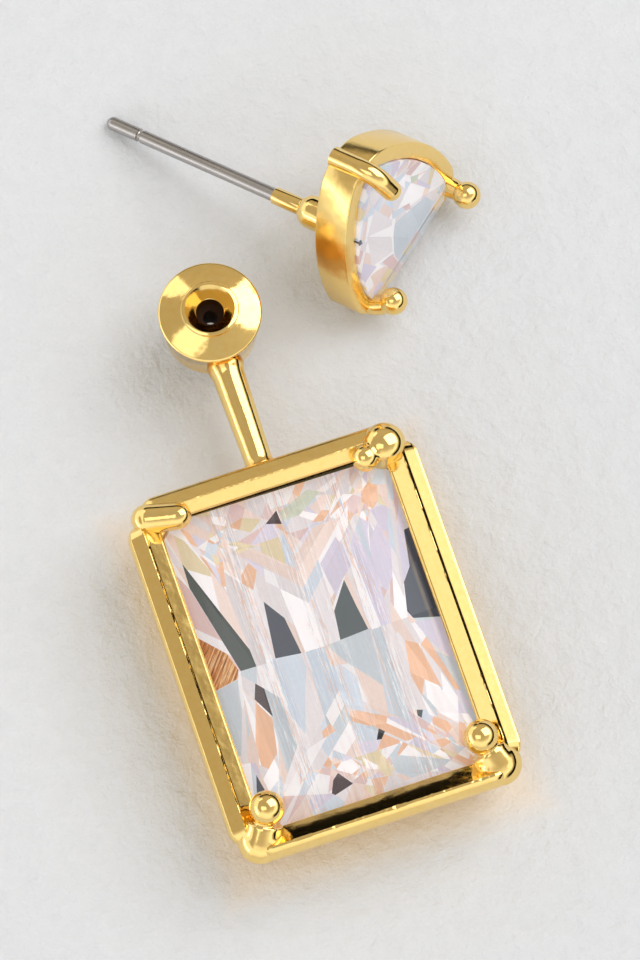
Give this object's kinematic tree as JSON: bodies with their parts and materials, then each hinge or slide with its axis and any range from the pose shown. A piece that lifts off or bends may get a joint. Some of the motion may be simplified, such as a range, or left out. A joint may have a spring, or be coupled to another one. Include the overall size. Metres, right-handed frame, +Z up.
{
  "type": "ear jacket earring",
  "caption": "Ear jacket earring: half-moon stone stud on a straight post, beside its clip-on jacket with a large rectangular stone, both laid flat.",
  "frame": {"origin": "on the axis of the clutch hole, at the back mouth of the hole; the surface that both pieces lie on is 1.9 mm below it", "axes": "+Z up out of the clutch's face, +Y from the jacket's stone towards its clutch, +X towards the side that the stud lies on"},
  "size_m": [0.0237, 0.0419, 0.0099],
  "materials": {
    "gold_plate": "polished yellow gold plate",
    "post_steel": "drawn steel wire",
    "crystal": "clear faceted stone",
    "grip_rubber": "dark brown rubber"
  },
  "bodies": {
    "root": {"jacket_setting": "gold_plate", "jacket_stone": "crystal", "clutch_grip": "grip_rubber", "stud_setting": "gold_plate", "stud_stone": "crystal", "stud_post": "post_steel"}
  },
  "joints": []
}
